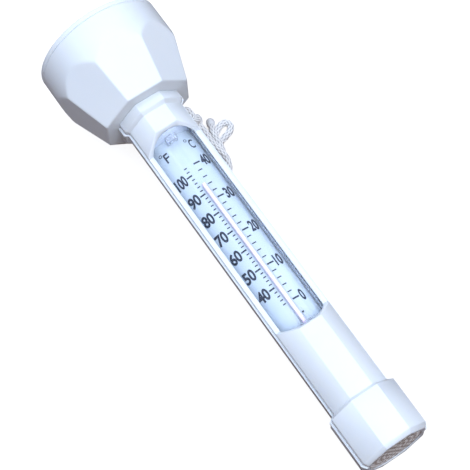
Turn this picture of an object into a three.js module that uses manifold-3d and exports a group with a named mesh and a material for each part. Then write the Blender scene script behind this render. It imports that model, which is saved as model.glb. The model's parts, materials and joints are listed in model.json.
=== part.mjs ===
// A floating pool thermometer, lying on its back the way it rests on a table: the float head and the foot touch
// the surface, and its cord lies beside it and in a tied hank under the tube.
//
// Millimetres. The pieces of the instrument are drawn standing, in a group of their own: z runs from the foot end
// to the float lid along the axis, the window faces -Y and +X is the right-hand side. The group is then laid down,
// so that in the part's frame +Z is up, +Y points towards the float head and the window faces up. The cord's points
// are given in the part's frame.
import * as THREE from "three";
import { mergeVertices } from "three/addons/utils/BufferGeometryUtils.js";
import Module from "manifold-3d";

const wasm = await Module();
wasm.setup();

// ---- driving dimensions ----------------------------------------------------------------------------------------
const LENGTH = 240; // foot end to float lid
const GAP = 0.3; // between pieces that touch
const SLIM_GAP = 0.15; // between pieces that fit closely
const ROUND = 48; // sides of a large round piece
const SMALL_ROUND = 24; // sides of a small round piece
const FLATS = 8; // sides of the octagonal casing
const FLAT_TO_CORNER = 1 / Math.cos(Math.PI / FLATS);
const ROUND_TO_CORNER = 1 / Math.cos(Math.PI / ROUND);

// The float head: a round tub whose lower half is cut by eight sloping flats.
const HEAD_RADIUS = 31.8;
const HEAD_BOTTOM = 195.5; // its flat underside
const HEAD_BOTTOM_FLAT = 22.1; // axis to a flat, at the underside
const FLAT_SLOPE = 0.336; // how far a flat leans out for each millimetre of height
const HEAD_WALL = 2.2;
const LID_THICKNESS = 2.5;
const LID_BOTTOM = LENGTH - LID_THICKNESS;
const LID_EDGE = 0.9; // the rounding of the lid's top edge
const RIM_RADIUS = HEAD_RADIUS - HEAD_WALL; // inside the tub's mouth
const LID_PLUG_DEPTH = 5;
const LID_PLUG_WALL = 1.9;
const LID_RING = 0.9; // radius of the lid's sealing ring

// The neck plug, by which the casing's two halves hold the float head.
const NECK_PLUG_BOTTOM = 186.3;
const NECK_PLUG_RADIUS = 12.0;
const NECK_GROOVE_RADIUS = 10.7;
const NECK_LIP_BOTTOM = 188.9;
const NECK_LIP_TOP = 191.1;
const NECK_WALL = 2.2;

// The casing: an octagonal tube with a collar at the neck and a wider foot, split into a front and a back half.
const TUBE_FLAT = 13.85; // axis to a flat
const COLLAR_FLAT = 15.7;
const COLLAR_BOTTOM = 190.7;
const COLLAR_CHAMFER = 1.6;
const FOOT_FLAT = 16.3;
const FOOT_TOP = 25.3;
const FOOT_CHAMFER = 1.6;
const FOOT_BEVEL = 2.1;
const FOOT_BEVEL_IN = 1.5;
const BORE = 12.3;
const PARTING_Y = -3.0; // the halves meet here, in front of the axis
const BEAD_PROUD = 0.9; // the back half's ledge stands out from the front half
const BEAD_THICK = 1.5;

// The window in the front half: it spans the three front flats, and both its ends lean outwards.
const WINDOW_BOTTOM = 64.7; // on the front flat
const WINDOW_TOP = 179.0;
const WINDOW_LEAN = 0.66; // along the axis for each millimetre of depth
const WINDOW_SILL_Y = -4.6; // how deep the window is cut

// The foot's end: a grille in a groove, and the ballast above it.
const GRILLE_LIP = 13.6;
const GRILLE_RADIUS = 14.3;
const GRILLE_BOTTOM = 0.7;
const GRILLE_THICKNESS = 1.5;
const GRILLE_HOLE = 1.05; // radius
const GRILLE_RINGS = [
  { radius: 3.1, holes: 6 },
  { radius: 6.1, holes: 12 },
  { radius: 9.1, holes: 18 },
  { radius: 12.1, holes: 24 },
];
const BALLAST_OUTER = 12.0;
const BALLAST_INNER = 7.6;
const BALLAST_BOTTOM = 6;
const BALLAST_TOP = 25;
const BALLAST_SHELF = 5.2; // the casing's shelf under the ballast
const SHELF_RADIUS = 11.4;

// The sealed clear tube and what it holds.
const CLEAR_OUTER = 12.0;
const CLEAR_INNER = 11.0;
const CLEAR_BOTTOM = 49;
const CLEAR_TOP = 184.6;
const PLUG_LENGTH = 7;
const PLUG_FLANGE = 1.4;
const PLUG_RING = 0.8; // radius of a plug's sealing ring
const CARD_BOTTOM = 60;
const CARD_TOP = 177.5;
const CARD_RADIUS = 16.6; // the scale card bulges gently towards the window
const CARD_FRONT_Y = -3.2;
const CARD_THICKNESS = 0.6;
const CARD_HALF_WIDTH = 10.7;
const CARD_HOLE = { x: 2.5, z: 73.4, radius: 0.55 };

// The glass thermometer, on the front of the card.
const STEM_RADIUS = 1.6;
const STEM_BORE = 1.0;
const STEM_Y = CARD_FRONT_Y - STEM_RADIUS - GAP / 2;
const STEM_BOTTOM = 45;
const STEM_TOP = 174;
const TIP_LENGTH = 2.4;
const BULB_RADIUS = 3.4;
const BULB_WALL = 0.7;
const BULB_BOTTOM = 29;
const BULB_TOP = 44.8;
const CLIP_HEIGHT = 3;
const CLIP_WALL = 0.9;
const CLIPS = { lower_stem_clip: 66.5, upper_stem_clip: 175.7 };

// The scale, along the axis, and the reading at rest.
const SCALE_ZERO = 80.7; // 0 degrees C
const SCALE_PER_DEGREE = 1.99;
const READING = 34.3; // degrees C
const SPIRIT_RADIUS = 0.85;
const MENISCUS_LENGTH = 2;

// The eye for the cord, on the back half's right side under the head.
const EYE_ANGLE = 45; // degrees behind the right-hand flat's middle
const EYE_RADIUS = 19.6; // axis to the middle of the hole
const EYE_Z = 189.2;
const EYE_HOLE = 2.5; // radius
const EYE_WALL = 1.3;
const EYE_THICKNESS = 2.0;

// The cord.
const CORD = 3.4; // diameter
const CORD_SIDES = 8;
const CORD_STEP = 1.2 * CORD;

// How the instrument lies: on the foot's lower edge, and on the head where a flat runs out into the round.
const HEAD_SHOULDER = HEAD_BOTTOM + (HEAD_RADIUS - HEAD_BOTTOM_FLAT) / FLAT_SLOPE;
const LEAN = Math.atan((HEAD_RADIUS - FOOT_FLAT) / (HEAD_SHOULDER - FOOT_BEVEL));

// ---- shape helpers ---------------------------------------------------------------------------------------------

// A closed mesh geometry with merged vertices, as a manifold-3d solid.
function solid(geometry) {
  const bare = geometry.clone();
  for (const name of Object.keys(bare.attributes)) {
    if (name !== "position") bare.deleteAttribute(name);
  }
  const merged = mergeVertices(bare, 1e-4);
  const triVerts = new Uint32Array(merged.index.array);
  const made = new wasm.Manifold(
    new wasm.Mesh({ numProp: 3, vertProperties: new Float32Array(merged.attributes.position.array), triVerts }),
  );
  if (made.volume() > 0) return made;
  for (let i = 0; i < triVerts.length; i += 3) {
    [triVerts[i + 1], triVerts[i + 2]] = [triVerts[i + 2], triVerts[i + 1]];
  }
  return new wasm.Manifold(
    new wasm.Mesh({ numProp: 3, vertProperties: new Float32Array(merged.attributes.position.array), triVerts }),
  );
}

// A manifold-3d solid as a three.js geometry.
function geometryOf(body) {
  const mesh = body.getMesh();
  const geometry = new THREE.BufferGeometry();
  geometry.setAttribute("position", new THREE.BufferAttribute(new Float32Array(mesh.vertProperties), 3));
  geometry.setIndex(new THREE.BufferAttribute(new Uint32Array(mesh.triVerts), 1));
  return geometry;
}

// A solid of revolution about the z axis, from [radius, z] points.
function turned(profile, sides = ROUND) {
  const points = profile.map(([radius, z]) => new THREE.Vector2(radius, z));
  const corner = Math.PI / sides; // turns a side, not a corner, to the front and the back
  return solid(new THREE.LatheGeometry(points, sides, corner).rotateX(Math.PI / 2));
}

// The same with [radius to the middle of a side, z] points, closed on the axis at both ends.
function turnedToSides(profile, sides) {
  const wide = profile.map(([radius, z]) => [radius / Math.cos(Math.PI / sides), z]);
  const bottom = [0, wide[0][1]];
  const top = [0, wide[wide.length - 1][1]];
  return turned([bottom, ...wide, top], sides);
}

const rod = (radius, bottom, top, sides = SMALL_ROUND) =>
  turned([[0, bottom], [radius, bottom], [radius, top], [0, top]], sides);

const pipe = (inner, outer, bottom, top, sides = ROUND) =>
  turned([[inner, bottom], [outer, bottom], [outer, top], [inner, top], [inner, bottom]], sides);

const block = (width, depth, height, x, y, z) =>
  solid(new THREE.BoxGeometry(width, depth, height).translate(x, y, z));

// A flat shape extruded across the instrument, along x, from [y, z] points.
function crosswise(points, width) {
  const shape = new THREE.Shape(points.map(([y, z]) => new THREE.Vector2(y, z)));
  const geometry = new THREE.ExtrudeGeometry(shape, { depth: width, bevelEnabled: false });
  geometry.translate(0, 0, -width / 2);
  geometry.rotateX(Math.PI / 2); // shape x to x, shape y to z, depth to -y
  geometry.rotateZ(Math.PI / 2); // shape x to y, depth to x
  return solid(geometry);
}

const joined = (first, ...rest) => rest.reduce((all, body) => all.add(body), first);
const cut = (first, ...rest) => rest.reduce((left, body) => left.subtract(body), first);

// ---- the float head --------------------------------------------------------------------------------------------

// The head's outer form: a round tub within an eight-sided cone. inset moves it inwards all round.
function headForm(inset, bottom, top) {
  const lean = Math.hypot(1, FLAT_SLOPE);
  const flatAt = (z) => HEAD_BOTTOM_FLAT + (z - HEAD_BOTTOM) * FLAT_SLOPE - inset * lean;
  const cone = turnedToSides([[flatAt(bottom), bottom], [flatAt(top), top]], FLATS);
  const tub = turnedToSides([[HEAD_RADIUS - inset, bottom], [HEAD_RADIUS - inset, top]], ROUND);
  return cone.intersect(tub);
}

function floatBowl() {
  const outside = headForm(0, HEAD_BOTTOM, LID_BOTTOM - SLIM_GAP);
  const inside = headForm(HEAD_WALL, HEAD_BOTTOM + HEAD_WALL, LENGTH);
  const neck = turned([
    [0, NECK_PLUG_BOTTOM],
    [NECK_PLUG_RADIUS, NECK_PLUG_BOTTOM],
    [NECK_PLUG_RADIUS, NECK_LIP_BOTTOM - GAP],
    [NECK_GROOVE_RADIUS, NECK_LIP_BOTTOM - GAP],
    [NECK_GROOVE_RADIUS, NECK_LIP_TOP + GAP],
    [NECK_PLUG_RADIUS, NECK_LIP_TOP + GAP],
    [NECK_PLUG_RADIUS, HEAD_BOTTOM + HEAD_WALL / 2],
    [0, HEAD_BOTTOM + HEAD_WALL / 2],
  ]);
  const well = rod(NECK_GROOVE_RADIUS - NECK_WALL, NECK_PLUG_BOTTOM + NECK_WALL, HEAD_BOTTOM + 2 * HEAD_WALL, ROUND);
  return cut(joined(outside, neck), inside, well);
}

function floatLid() {
  const edge = HEAD_RADIUS * ROUND_TO_CORNER;
  const plugRadius = RIM_RADIUS - SLIM_GAP;
  const plugInner = plugRadius - LID_PLUG_WALL;
  const plugBottom = LID_BOTTOM - LID_PLUG_DEPTH;
  const ringZ = LID_BOTTOM - LID_PLUG_DEPTH / 2;
  const groove = LID_RING + GAP / 2;
  return turned([
    [0, LID_BOTTOM],
    [plugInner, LID_BOTTOM],
    [plugInner, plugBottom],
    [plugRadius - 0.6, plugBottom],
    [plugRadius, plugBottom + 0.6],
    [plugRadius, ringZ - groove],
    [plugRadius - groove, ringZ - groove],
    [plugRadius - groove, ringZ + groove],
    [plugRadius, ringZ + groove],
    [plugRadius, LID_BOTTOM],
    [edge, LID_BOTTOM],
    [edge, LENGTH - LID_EDGE],
    [edge - 0.3 * LID_EDGE, LENGTH - 0.3 * LID_EDGE],
    [edge - LID_EDGE, LENGTH],
    [0, LENGTH],
  ]);
}

// The lid's sealing ring, squeezed flat between its groove and the tub's wall.
function lidRing() {
  const outer = RIM_RADIUS - 0.05;
  const inner = RIM_RADIUS - SLIM_GAP - LID_RING;
  const z = LID_BOTTOM - LID_PLUG_DEPTH / 2;
  return pipe(inner, outer, z - LID_RING, z + LID_RING);
}

// ---- the casing ------------------------------------------------------------------------------------------------

// The casing's outer form, moved outwards by proud.
function casingForm(proud) {
  const tube = TUBE_FLAT + proud;
  const collar = COLLAR_FLAT + proud;
  const foot = FOOT_FLAT + proud;
  return turnedToSides(
    [
      [foot - FOOT_BEVEL_IN, 0],
      [foot, FOOT_BEVEL],
      [foot, FOOT_TOP],
      [tube, FOOT_TOP + FOOT_CHAMFER],
      [tube, COLLAR_BOTTOM - COLLAR_CHAMFER],
      [collar, COLLAR_BOTTOM],
      [collar, HEAD_BOTTOM - SLIM_GAP],
    ],
    FLATS,
  );
}

// The round space inside the casing, from the foot's mouth to the neck.
function casingBore() {
  const grooveTop = GRILLE_BOTTOM + GRILLE_THICKNESS + SLIM_GAP;
  return turned([
    [0, -1],
    [GRILLE_LIP, -1],
    [GRILLE_LIP, GRILLE_BOTTOM - SLIM_GAP],
    [GRILLE_RADIUS + SLIM_GAP, GRILLE_BOTTOM - SLIM_GAP],
    [GRILLE_RADIUS + SLIM_GAP, grooveTop],
    [SHELF_RADIUS, grooveTop],
    [SHELF_RADIUS, BALLAST_SHELF],
    [BORE, BALLAST_SHELF],
    [BORE, CLEAR_BOTTOM - 1.4],
    [CLEAR_INNER - 0.6, CLEAR_BOTTOM - 1.4],
    [CLEAR_INNER - 0.6, CLEAR_BOTTOM - GAP],
    [BORE, CLEAR_BOTTOM - GAP],
    [BORE, NECK_LIP_BOTTOM],
    [NECK_GROOVE_RADIUS + GAP, NECK_LIP_BOTTOM],
    [NECK_GROOVE_RADIUS + GAP, NECK_LIP_TOP],
    [BORE, NECK_LIP_TOP],
    [BORE, LENGTH],
    [0, LENGTH],
  ]);
}

// The window's opening: its ends lean outwards, so their outer edges slant over the diagonal flats.
function windowCut() {
  const reach = 2 * TUBE_FLAT;
  const zAt = (end, way, y) => end + way * (-TUBE_FLAT - y) * WINDOW_LEAN;
  const outlineAt = (y) => [
    [y, zAt(WINDOW_BOTTOM, -1, y)],
    [y, zAt(WINDOW_TOP, 1, y)],
  ];
  const [sillBottom, sillTop] = outlineAt(WINDOW_SILL_Y);
  const [outBottom, outTop] = outlineAt(-reach);
  return crosswise([sillBottom, outBottom, outTop, sillTop], 2 * reach);
}

// The part of a body in front of y, or behind it.
const SPAN = 2 * LENGTH;
const inFront = (body, y) => body.intersect(block(SPAN, SPAN, SPAN, 0, y - SPAN / 2, LENGTH / 2));
const behind = (body, y) => body.intersect(block(SPAN, SPAN, SPAN, 0, y + SPAN / 2, LENGTH / 2));

function frontShell() {
  return inFront(cut(casingForm(0), casingBore(), windowCut()), PARTING_Y - SLIM_GAP);
}

// The eye's plate and its hole, standing out behind the right-hand flat.
function eyeLug() {
  const outer = EYE_HOLE + EYE_WALL;
  const place = (body) => body.translate([EYE_RADIUS, 0, EYE_Z]).rotate([0, 0, EYE_ANGLE]);
  const half = EYE_THICKNESS / 2;
  const inward = EYE_RADIUS - TUBE_FLAT + 0.6;
  const plate = joined(
    rod(outer, -half, half),
    block(inward, 2 * outer, EYE_THICKNESS, -inward / 2, 0, 0),
  );
  return { plate: place(plate), hole: place(rod(EYE_HOLE, -outer, outer)) };
}

function backShell() {
  const bead = inFront(behind(casingForm(BEAD_PROUD), PARTING_Y), PARTING_Y + BEAD_THICK);
  const eye = eyeLug();
  const half = behind(casingForm(0), PARTING_Y);
  return cut(joined(half, bead, eye.plate), casingBore(), eye.hole);
}

// ---- the foot --------------------------------------------------------------------------------------------------

function footGrille() {
  const top = GRILLE_BOTTOM + GRILLE_THICKNESS;
  let disc = rod(GRILLE_RADIUS, GRILLE_BOTTOM, top, ROUND);
  const hole = rod(GRILLE_HOLE, GRILLE_BOTTOM - 1, top + 1, 8);
  disc = disc.subtract(hole);
  for (const { radius, holes } of GRILLE_RINGS) {
    for (let i = 0; i < holes; i++) {
      disc = disc.subtract(hole.translate([radius, 0, 0]).rotate([0, 0, (360 * i) / holes]));
    }
  }
  return disc;
}

const ballastRing = () =>
  turned([
    [BALLAST_INNER, BALLAST_BOTTOM],
    [BALLAST_OUTER - 0.6, BALLAST_BOTTOM],
    [BALLAST_OUTER, BALLAST_BOTTOM + 0.6],
    [BALLAST_OUTER, BALLAST_TOP - 0.6],
    [BALLAST_OUTER - 0.6, BALLAST_TOP],
    [BALLAST_INNER, BALLAST_TOP],
    [BALLAST_INNER, BALLAST_BOTTOM],
  ]);

// ---- the clear tube and its plugs ------------------------------------------------------------------------------

const clearTube = () => pipe(CLEAR_INNER, CLEAR_OUTER, CLEAR_BOTTOM, CLEAR_TOP);

// A rubber plug's body in the tube's lower end, with a groove for its ring; way is 1, or -1 for the upper end.
function plug(mouth, way) {
  const radius = CLEAR_INNER - SLIM_GAP;
  const inside = mouth + way * PLUG_LENGTH;
  const middle = mouth + (way * PLUG_LENGTH) / 2;
  const groove = PLUG_RING + GAP / 2;
  return turned([
    [0, mouth + way * SLIM_GAP],
    [radius, mouth + way * SLIM_GAP],
    [radius, middle - way * groove],
    [radius - groove, middle - way * groove],
    [radius - groove, middle + way * groove],
    [radius, middle + way * groove],
    [radius, inside],
    [0, inside],
  ]);
}

function lowerPlug() {
  const stemHole = rod(STEM_RADIUS + SLIM_GAP, CLEAR_BOTTOM - 5, CLEAR_BOTTOM + 2 * PLUG_LENGTH);
  return plug(CLEAR_BOTTOM, 1).subtract(stemHole.translate([0, STEM_Y, 0]));
}

// The upper plug has a flange that covers the tube's end.
function upperPlug() {
  const bottom = CLEAR_TOP + SLIM_GAP;
  const flange = rod(CLEAR_OUTER, bottom, bottom + PLUG_FLANGE, ROUND);
  const neck = rod(CLEAR_INNER - SLIM_GAP, CLEAR_TOP - 1, bottom + PLUG_FLANGE / 2, ROUND);
  return joined(plug(CLEAR_TOP, -1), neck, flange);
}

function plugRing(mouth, way) {
  const z = mouth + (way * PLUG_LENGTH) / 2;
  const outer = CLEAR_INNER - 0.05;
  return pipe(CLEAR_INNER - SLIM_GAP - PLUG_RING, outer, z - PLUG_RING, z + PLUG_RING);
}

// ---- the scale card and the glass ------------------------------------------------------------------------------

function scaleCard() {
  const half = Math.asin(CARD_HALF_WIDTH / CARD_RADIUS);
  const front = -Math.PI / 2;
  const shape = new THREE.Shape();
  shape.absarc(0, 0, CARD_RADIUS, front - half, front + half, false);
  shape.absarc(0, 0, CARD_RADIUS - CARD_THICKNESS, front + half, front - half, true);
  const height = CARD_TOP - CARD_BOTTOM;
  const sheet = new THREE.ExtrudeGeometry(shape, { depth: height, bevelEnabled: false, curveSegments: 10 });
  sheet.translate(0, CARD_RADIUS + CARD_FRONT_Y, CARD_BOTTOM);
  const hole = rod(CARD_HOLE.radius, -CARD_RADIUS, CARD_RADIUS, 12).rotate([90, 0, 0]);
  return solid(sheet).subtract(hole.translate([CARD_HOLE.x, 0, CARD_HOLE.z]));
}

const atStem = (body) => body.translate([0, STEM_Y, 0]);

const glassStem = () => atStem(pipe(STEM_BORE, STEM_RADIUS, STEM_BOTTOM, STEM_TOP, 16));

// The fused tip that closes the stem.
const glassTip = () =>
  atStem(
    turned(
      [
        [0, STEM_TOP + SLIM_GAP],
        [STEM_RADIUS, STEM_TOP + SLIM_GAP],
        [STEM_RADIUS * 0.86, STEM_TOP + TIP_LENGTH * 0.6],
        [STEM_RADIUS * 0.45, STEM_TOP + TIP_LENGTH * 0.92],
        [0, STEM_TOP + TIP_LENGTH],
      ],
      16,
    ),
  );

// Points of the bulb's side, from its round bottom to its mouth.
function bulbSide(inset) {
  const radius = BULB_RADIUS - inset;
  const centre = BULB_BOTTOM + BULB_RADIUS;
  const turn = 6;
  const points = [];
  for (let i = 0; i <= turn; i++) {
    const angle = (Math.PI / 2) * (i / turn);
    points.push([radius * Math.sin(angle), centre - radius * Math.cos(angle)]);
  }
  return points;
}

function glassBulb() {
  const shoulder = BULB_TOP - 3.2;
  const neck = STEM_RADIUS;
  const outside = [...bulbSide(0), [BULB_RADIUS, shoulder], [neck + 0.3, BULB_TOP - 0.8], [neck, BULB_TOP]];
  const inner = [[STEM_BORE, BULB_TOP], [STEM_BORE, BULB_TOP - 0.8], [BULB_RADIUS - BULB_WALL, shoulder - 0.4]];
  return atStem(turned([...outside, ...inner, ...bulbSide(BULB_WALL).reverse()], 20));
}

function bulbSpirit() {
  const clear = BULB_WALL + SLIM_GAP;
  const top = BULB_TOP - 3.8;
  return atStem(turned([...bulbSide(clear), [BULB_RADIUS - clear, top - 0.3], [SPIRIT_RADIUS, top], [0, top]], 20));
}

const READING_Z = SCALE_ZERO + READING * SCALE_PER_DEGREE;
const MENISCUS_BOTTOM = READING_Z - MENISCUS_LENGTH;

const spiritColumn = () =>
  atStem(rod(SPIRIT_RADIUS, BULB_TOP - 3.8 + SLIM_GAP, MENISCUS_BOTTOM - 0.05, 12));

const spiritMeniscus = () =>
  atStem(
    turned(
      [
        [0, MENISCUS_BOTTOM],
        [SPIRIT_RADIUS, MENISCUS_BOTTOM],
        [SPIRIT_RADIUS, READING_Z],
        [SPIRIT_RADIUS * 0.6, READING_Z - 0.3],
        [0, READING_Z - 0.4],
      ],
      12,
    ),
  );

// A clip moulded like a saddle: two feet on the card and a bridge over the stem.
function stemClip(z) {
  const half = STEM_RADIUS + SLIM_GAP + CLIP_WALL;
  const top = STEM_Y - half;
  const foot = CARD_FRONT_Y - GAP;
  const body = block(2 * half, foot - top, CLIP_HEIGHT, 0, (foot + top) / 2, z);
  const card = rod(CARD_RADIUS + SLIM_GAP, z - CLIP_HEIGHT, z + CLIP_HEIGHT, 4 * ROUND);
  const saddle = rod(STEM_RADIUS + SLIM_GAP, z - CLIP_HEIGHT, z + CLIP_HEIGHT, 16);
  const slot = block(2 * (STEM_RADIUS + SLIM_GAP), 2 * STEM_RADIUS, 2 * CLIP_HEIGHT, 0, STEM_Y + STEM_RADIUS, z);
  return cut(body, card.translate([0, CARD_RADIUS + CARD_FRONT_Y, 0]), atStem(saddle), slot);
}

// ---- the cord --------------------------------------------------------------------------------------------------

const at = (points) => points.map(([x, y, z]) => new THREE.Vector3(x, y, z));

// Points chosen by hand, in the part's frame: the loop that hangs in the eye, over its knot;
const EYE_LOOP_POINTS = at([
  [20.0, 69.6, 10.9],
  [20.3, 72.4, 11.2],
  [19.8, 75.0, 11.9],
  [18.0, 75.7, 12.4],
  [15.2, 73.2, 14.2],
  [14.0, 71.0, 15.2],
  [13.86, 68.94, 15.4],
  [13.95, 66.7, 15.2],
  [15.1, 64.8, 14.4],
  [17.2, 64.6, 13.1],
  [18.6, 66.6, 11.9],
]);
const KNOT = { x: 19.8, y: 68.2, z: 10.9, radius: 3.2 };

// the run from the knot to the hank;
const RUN_POINTS = at([
  [20.8, 64.4, 9.1],
  [21.2, 61.8, 8.4],
  [21.0, 59.2, 7.9],
  [20.9, 55.4, 7.9],
  [21.3, 51.8, 7.7],
  [22.0, 48.4, 7.1],
  [22.2, 45.0, 6.2],
  [20.8, 41.0, 4.9],
  [17.8, 37.2, 3.4],
  [15.0, 33.0, 2.2],
]);

// and the stretch from the hank through the bight to the cord's end.
const BIGHT_POINTS = at([
  [6.6, 38.6, 6.0],
  [9.4, 42.0, 5.5],
  [13.4, 46.0, 3.6],
  [18.6, 51.4, 1.8],
  [23.2, 55.1, 1.8],
  [28.2, 56.9, 1.8],
  [32.5, 58.4, 1.8],
  [34.8, 60.9, 1.8],
  [33.8, 63.6, 1.8],
  [30.6, 63.8, 1.8],
  [26.8, 61.6, 1.8],
  [22.4, 59.4, 1.8],
  [17.0, 58.4, 1.8],
  [11.4, 58.0, 1.8],
  [6.0, 55.4, 1.8],
  [3.6, 50.0, 1.8],
  [5.2, 44.9, 1.8],
  [10.6, 41.0, 1.8],
  [16.4, 41.6, 1.8],
  [20.7, 45.4, 1.9],
  [23.0, 49.8, 3.9],
  [24.0, 54.0, 5.3],
  [24.5, 58.4, 5.4],
  [25.4, 62.4, 4.9],
  [26.6, 65.3, 3.6],
]);

// A cord's tube along a curve through the points.
function cordTube(points) {
  const curve = new THREE.CatmullRomCurve3(points);
  const radius = CORD / 2 - 0.05;
  const corners = [];
  for (let i = 0; i < CORD_SIDES; i++) {
    const angle = (2 * Math.PI * (i + 0.5)) / CORD_SIDES;
    corners.push(new THREE.Vector2(radius * Math.cos(angle), radius * Math.sin(angle)));
  }
  const section = new THREE.Shape(corners);
  const steps = Math.ceil(curve.getLength() / CORD_STEP) * 2;
  const geometry = new THREE.ExtrudeGeometry(section, { steps, extrudePath: curve, bevelEnabled: false });
  return solid(geometry);
}

// The knot with its loop through the eye.
function eyeKnot() {
  const knot = new THREE.SphereGeometry(KNOT.radius, 20, 12).translate(KNOT.x, KNOT.y, KNOT.z);
  return joined(cordTube(EYE_LOOP_POINTS), solid(knot));
}

// The cord's end, melted so that the braid can't fray.
const TIP = { radius: 2.15, length: 4.6 };

function cordTip() {
  const end = BIGHT_POINTS[BIGHT_POINTS.length - 1];
  const way = end.clone().sub(BIGHT_POINTS[BIGHT_POINTS.length - 2]).setZ(-0.9).normalize();
  const profile = [
    [0, GAP],
    [TIP.radius, GAP],
    [TIP.radius, TIP.length * 0.7],
    [TIP.radius * 0.75, TIP.length * 0.94],
    [0, TIP.length],
  ];
  const points = profile.map(([radius, along]) => new THREE.Vector2(radius, along));
  const geometry = new THREE.LatheGeometry(points, 16);
  geometry.applyQuaternion(new THREE.Quaternion().setFromUnitVectors(new THREE.Vector3(0, 1, 0), way));
  return solid(geometry.translate(end.x, end.y, end.z));
}

// The hank: turns of cord laid beside and on each other in a long loop, as one closed solid.
const HANK = { x: 5.3, y: 6, length: 58, width: 20.4, bottom: 0.9, top: 7.9 };

function cordHank() {
  const radius = HANK.width / 2;
  const straight = HANK.length / 2 - radius;
  const shape = new THREE.Shape();
  shape.absarc(0, straight, radius, 0, Math.PI, false);
  shape.absarc(0, -straight, radius, Math.PI, 2 * Math.PI, false);
  const depth = HANK.top - HANK.bottom;
  const geometry = new THREE.ExtrudeGeometry(shape, { depth, bevelEnabled: false, curveSegments: 8 });
  return solid(geometry.translate(HANK.x, HANK.y, HANK.bottom));
}

// The wire tie round the middle of the hank.
const TIE = { width: 3.2, thickness: 0.7 };

function hankTie() {
  const width = HANK.width + 2 * GAP;
  const height = HANK.top - HANK.bottom + 2 * SLIM_GAP;
  const middle = (HANK.top + HANK.bottom) / 2;
  const outer = block(width + 2 * TIE.thickness, TIE.width, height + 2 * TIE.thickness, HANK.x, HANK.y, middle);
  return outer.subtract(block(width, 2 * TIE.width, height, HANK.x, HANK.y, middle));
}

// ---- the assembly ----------------------------------------------------------------------------------------------

const material = (color, roughness, metalness = 0, opacity = 1) =>
  new THREE.MeshStandardMaterial({ color, roughness, metalness, opacity, transparent: opacity < 1 });

const ABS = material(0xf1f6fb, 0.35);
const CLEAR = material(0xdfeefb, 0.08, 0, 0.3);
const GLASS = material(0xe8f3f6, 0.05, 0, 0.35);
const RUBBER = material(0x3a3d42, 0.8);
const SILICONE = material(0xd8dde0, 0.6);
const CARD = material(0xf7fbff, 0.5);
const SPIRIT = material(0xe0526a, 0.2);
const STEEL = material(0x9da3a8, 0.35, 1);
const BRAID = material(0xf3f3f1, 0.75);
const TIE_FILM = material(0xffffff, 0.4);

const instrument = new THREE.Group();
const cord = new THREE.Group();
const thermometer = new THREE.Group();
thermometer.add(instrument, cord);

function add(group, name, body, look) {
  const mesh = new THREE.Mesh(geometryOf(body), look);
  mesh.name = name;
  group.add(mesh);
}

add(instrument, "float_lid", floatLid(), ABS);
add(instrument, "float_lid_seal", lidRing(), RUBBER);
add(instrument, "float_bowl", floatBowl(), ABS);
add(instrument, "front_shell", frontShell(), ABS);
add(instrument, "back_shell", backShell(), ABS);
add(instrument, "foot_grille", footGrille(), ABS);
add(instrument, "ballast_ring", ballastRing(), STEEL);
add(instrument, "clear_tube", clearTube(), CLEAR);
add(instrument, "upper_tube_plug", upperPlug(), SILICONE);
add(instrument, "upper_plug_seal", plugRing(CLEAR_TOP, -1), RUBBER);
add(instrument, "lower_tube_plug", lowerPlug(), SILICONE);
add(instrument, "lower_plug_seal", plugRing(CLEAR_BOTTOM, 1), RUBBER);
add(instrument, "scale_card", scaleCard(), CARD);
add(instrument, "glass_stem", glassStem(), GLASS);
add(instrument, "glass_stem_tip", glassTip(), GLASS);
add(instrument, "glass_bulb", glassBulb(), GLASS);
add(instrument, "bulb_spirit", bulbSpirit(), SPIRIT);
add(instrument, "spirit_column", spiritColumn(), SPIRIT);
add(instrument, "spirit_meniscus", spiritMeniscus(), SPIRIT);
for (const [name, z] of Object.entries(CLIPS)) {
  add(instrument, name, stemClip(z), ABS);
}

// Lay the instrument down and put the middle of its footprint at the origin.
instrument.rotation.x = LEAN - Math.PI / 2;
instrument.updateMatrixWorld(true);
const extent = new THREE.Box3().setFromObject(instrument, true);
instrument.position.set(0, -(extent.min.y + extent.max.y) / 2, -extent.min.z);

add(cord, "eye_knot", eyeKnot(), BRAID);
add(cord, "cord_run", cordTube(RUN_POINTS), BRAID);
add(cord, "cord_bight", cordTube(BIGHT_POINTS), BRAID);
add(cord, "cord_tip", cordTip(), BRAID);
add(cord, "cord_hank", cordHank(), BRAID);
add(cord, "hank_tie", hankTie(), TIE_FILM);

export default thermometer;
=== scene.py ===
"""The looks of a floating pool thermometer that lies on its back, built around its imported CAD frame.

Lengths are in millimetres until a mesh is made. The instrument's own pieces are drawn standing, as in
the CAD: z runs along the axis from the foot end to the lid, -y is the window's side, and +x is the
reader's right.
"""

import json
import math

import bmesh
import bpy
import numpy as np
from mathutils import Matrix, Vector


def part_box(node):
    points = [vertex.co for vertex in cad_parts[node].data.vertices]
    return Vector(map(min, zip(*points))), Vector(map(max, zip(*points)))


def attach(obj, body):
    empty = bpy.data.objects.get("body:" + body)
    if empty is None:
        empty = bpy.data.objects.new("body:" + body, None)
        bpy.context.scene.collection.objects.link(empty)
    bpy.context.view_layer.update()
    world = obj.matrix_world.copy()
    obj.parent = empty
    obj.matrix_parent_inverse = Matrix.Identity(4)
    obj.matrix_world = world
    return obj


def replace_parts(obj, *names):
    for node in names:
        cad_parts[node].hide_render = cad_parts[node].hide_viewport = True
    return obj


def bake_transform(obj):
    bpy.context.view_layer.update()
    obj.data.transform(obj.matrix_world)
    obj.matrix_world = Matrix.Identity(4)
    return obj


MM = 0.001
TAU = 2 * math.pi

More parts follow.
